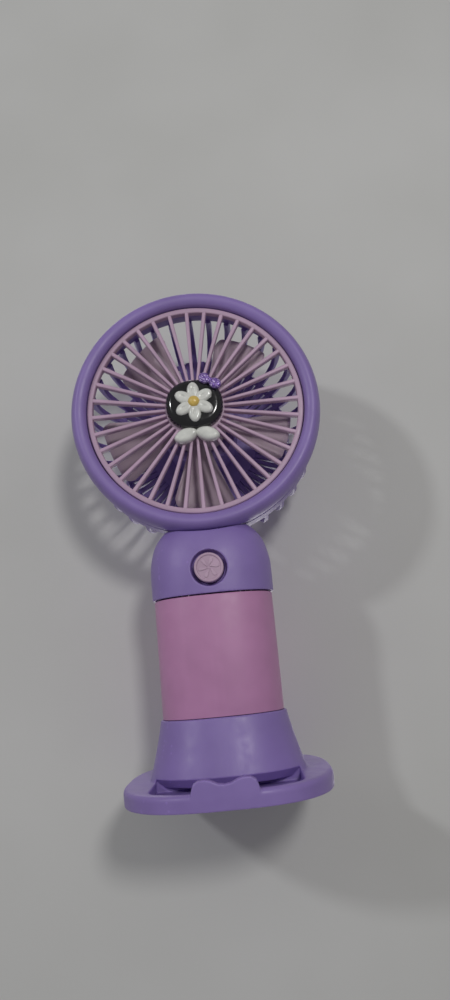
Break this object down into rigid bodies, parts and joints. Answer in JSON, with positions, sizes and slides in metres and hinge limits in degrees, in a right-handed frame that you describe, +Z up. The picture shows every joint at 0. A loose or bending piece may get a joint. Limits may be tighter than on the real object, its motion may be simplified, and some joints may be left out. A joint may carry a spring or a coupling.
{
  "type": "handheld electric fan",
  "caption": "Handheld battery fan with a round caged head, oval handle and press button, plugged into a squircle desk stand with a phone lip.",
  "frame": {"origin": "centre of the stand's resting plane, on the handle's axis", "axes": "+Z up the handle, the fan blows towards -Y, +X to the right seen from the front"},
  "size_m": [0.0746, 0.066, 0.1461],
  "materials": {
    "purple_plastic": "satin moulded",
    "pink_plastic": "satin moulded",
    "pale_pink_plastic": "satin moulded",
    "dusty_pink_plastic": "satin moulded",
    "black_gloss": "glossy",
    "white_gloss": "glossy",
    "yellow_gloss": "glossy",
    "bow_glitter": "glitter",
    "foot_rubber": "matte",
    "screw_steel": "zinc plated",
    "plated_steel": "bright plated",
    "laminated_iron": "oiled",
    "magnet_ferrite": "matte",
    "copper": "enamelled wire",
    "bronze": "sintered",
    "nickel_strip": "satin",
    "cell_wrap": "shrink wrapped",
    "board_green": "solder mask",
    "chip_black": "matte",
    "black_plastic": "satin",
    "white_plastic": "satin",
    "lens_clear": "frosted",
    "wire_red": "insulated",
    "wire_black": "insulated"
  },
  "bodies": {
    "stand": {"stand_shell": "purple_plastic", "stand_bottom_cover": "purple_plastic", "stand_screws": "screw_steel", "stand_feet": "foot_rubber"},
    "fan": {"handle_sleeve": "pink_plastic", "handle_end_cap": "purple_plastic", "collar_front": "purple_plastic", "collar_rear": "purple_plastic", "collar_screws": "screw_steel", "switch_body": "black_plastic", "circuit_board": "board_green", "board_components": "chip_black", "usb_socket": "plated_steel", "indicator_lens": "lens_clear", "battery_cell": "cell_wrap", "battery_tabs": "nickel_strip", "battery_cradle": "white_plastic", "battery_lead_red": "wire_red", "battery_lead_black": "wire_black", "motor_lead_red": "wire_red", "motor_lead_black": "wire_black", "front_ring": "purple_plastic", "front_grille": "pale_pink_plastic", "rear_guard": "purple_plastic", "motor_cover": "purple_plastic", "emblem_base": "black_gloss", "emblem_petals": "white_gloss", "emblem_centre": "yellow_gloss", "emblem_leaves": "white_gloss", "emblem_bow": "bow_glitter", "motor_can": "plated_steel", "motor_end_cap": "white_plastic", "motor_bushes": "bronze", "motor_magnets": "magnet_ferrite", "motor_brushes": "nickel_strip", "motor_terminals": "nickel_strip"},
    "rotor": {"impeller": "dusty_pink_plastic", "motor_shaft": "plated_steel", "motor_armature": "laminated_iron", "motor_windings": "copper", "motor_commutator": "copper"},
    "button": {"power_button": "pale_pink_plastic"},
    "plunger": {"switch_plunger": "black_plastic"}
  },
  "joints": [
    {"name": "lift_from_stand", "type": "slide", "parent": "stand", "child": "fan", "axis": [0, 0, 1], "range_m": [0, 0.03]},
    {"name": "impeller_spin", "type": "hinge", "parent": "fan", "child": "rotor", "pos_m": [0, 0, 0.1088], "axis": [0, 1, 0], "continuous": true},
    {"name": "button_press", "type": "slide", "parent": "fan", "child": "button", "axis": [0, 1, 0], "range_m": [0, 0.0005]},
    {"name": "plunger_press", "type": "slide", "parent": "fan", "child": "plunger", "axis": [0, 1, 0], "range_m": [0, 0.0005]}
  ],
  "couplings": [
    {"joint": "plunger_press", "follows": "button_press", "ratio": 1}
  ]
}
